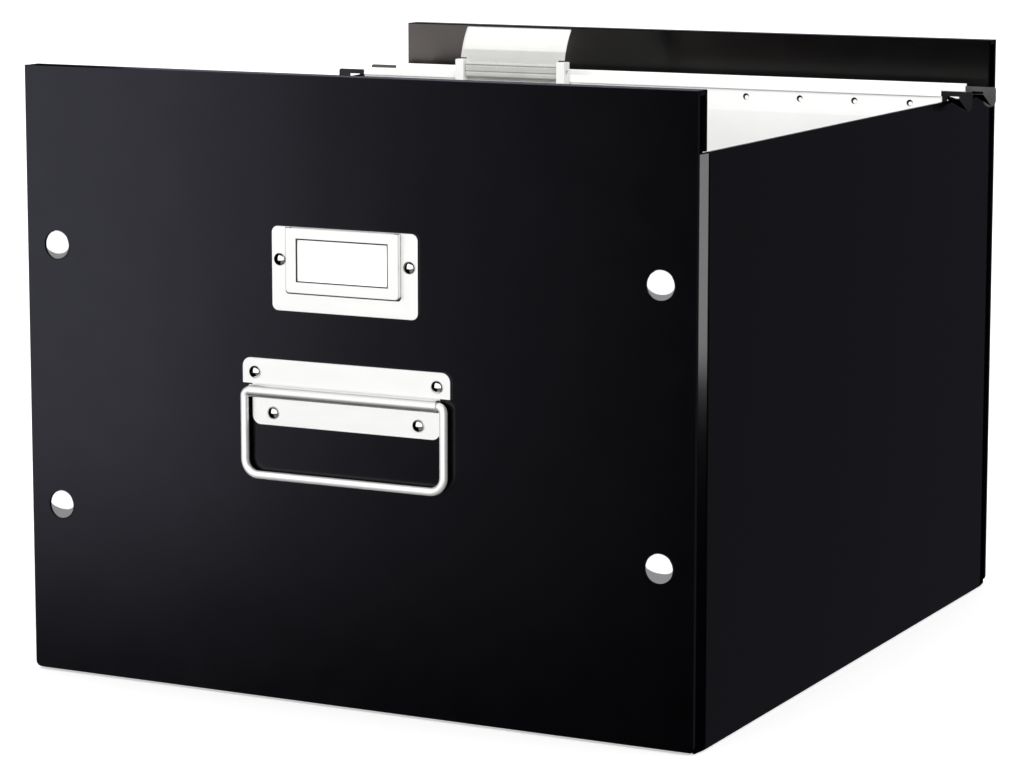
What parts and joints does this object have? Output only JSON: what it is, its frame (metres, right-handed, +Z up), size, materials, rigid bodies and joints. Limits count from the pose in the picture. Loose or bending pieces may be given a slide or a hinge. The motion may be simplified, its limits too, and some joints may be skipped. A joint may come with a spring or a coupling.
{
  "type": "hanging file box",
  "caption": "Open-topped laminated board box for hanging files, with a drop handle, label holder, press studs at the corners and a tabbed hanging file.",
  "frame": {"origin": "middle of the object's outline on the surface it stands on", "axes": "+Z up, -Y out of the front wall with the handle, +X to the right seen from the front"},
  "size_m": [0.354, 0.3776, 0.2817],
  "materials": {
    "laminate": "black laminate over board, satin gloss",
    "lining": "black laminate lining, satin",
    "nickel": "satin nickel plate",
    "chrome": "polished chrome plate",
    "zinc": "plain zinc plate",
    "card": "matt white card",
    "file": "smooth white card",
    "hook": "black plastic",
    "tab": "white plastic",
    "clear": "clear plastic"
  },
  "bodies": {
    "box": {"base_board": "laminate", "front_outer_board": "laminate", "front_top_spine": "laminate", "left_front_flap": "laminate", "right_front_flap": "laminate", "back_outer_board": "laminate", "back_top_spine": "laminate", "back_lining_board": "lining", "left_back_flap": "laminate", "right_back_flap": "laminate", "left_side_board": "laminate", "right_side_board": "laminate", "press_cap_front_left_lower": "chrome", "press_socket_front_left_lower": "zinc", "press_stud_front_left_lower": "zinc", "press_cap_front_left_upper": "chrome", "press_socket_front_left_upper": "zinc", "press_stud_front_left_upper": "zinc", "press_cap_front_right_lower": "chrome", "press_socket_front_right_lower": "zinc", "press_stud_front_right_lower": "zinc", "press_cap_front_right_upper": "chrome", "press_socket_front_right_upper": "zinc", "press_stud_front_right_upper": "zinc", "press_cap_back_left_lower": "chrome", "press_socket_back_left_lower": "zinc", "press_stud_back_left_lower": "zinc", "press_cap_back_left_upper": "chrome", "press_socket_back_left_upper": "zinc", "press_stud_back_left_upper": "zinc", "press_cap_back_right_lower": "chrome", "press_socket_back_right_lower": "zinc", "press_stud_back_right_lower": "zinc", "press_cap_back_right_upper": "chrome", "press_socket_back_right_upper": "zinc", "press_stud_back_right_upper": "zinc", "handle_rivet_left_lower": "chrome", "handle_rivet_left_upper": "chrome", "label_rivet_left": "chrome", "handle_rivet_right_lower": "chrome", "handle_rivet_right_upper": "chrome", "label_rivet_right": "chrome", "handle_plate": "nickel", "label_plate": "nickel"},
    "handle": {"handle_wire": "nickel"},
    "label_card": {"label_card": "card"},
    "front_lining": {"front_lining_board": "lining"},
    "file_rear": {"rear_leaf": "file", "rear_rail": "file", "rear_left_hook": "hook", "rear_right_hook": "hook"},
    "file_front": {"front_leaf": "file", "front_rail": "file", "front_left_hook": "hook", "front_right_hook": "hook", "tab_base": "tab"},
    "tab": {"tab_window": "clear", "tab_label": "card"}
  },
  "joints": [
    {"name": "handle_swing", "type": "hinge", "parent": "box", "child": "handle", "pos_m": [0, -0.18602, 0.1397], "axis": [-1, 0, 0], "range_deg": [0, 165]},
    {"name": "label_card_slide", "type": "slide", "parent": "box", "child": "label_card", "axis": [0, 0, 1], "range_m": [0, 0.03]},
    {"name": "front_lining_lift", "type": "hinge", "parent": "box", "child": "front_lining", "pos_m": [0, -0.17433, 0.2791], "axis": [1, 0, 0], "range_deg": [0, 165]},
    {"name": "file_slide", "type": "slide", "parent": "box", "child": "file_rear", "axis": [0, -1, 0], "range_m": [0, 0.28]},
    {"name": "file_close", "type": "hinge", "parent": "file_rear", "child": "file_front", "pos_m": [0, 0.13873, 0.015], "axis": [-1, 0, 0], "range_deg": [0, 6]},
    {"name": "tab_tilt", "type": "hinge", "parent": "file_front", "child": "tab", "pos_m": [-0.0715, 0.11647, 0.26], "axis": [-1, 0, 0], "range_deg": [-20, 30]}
  ]
}
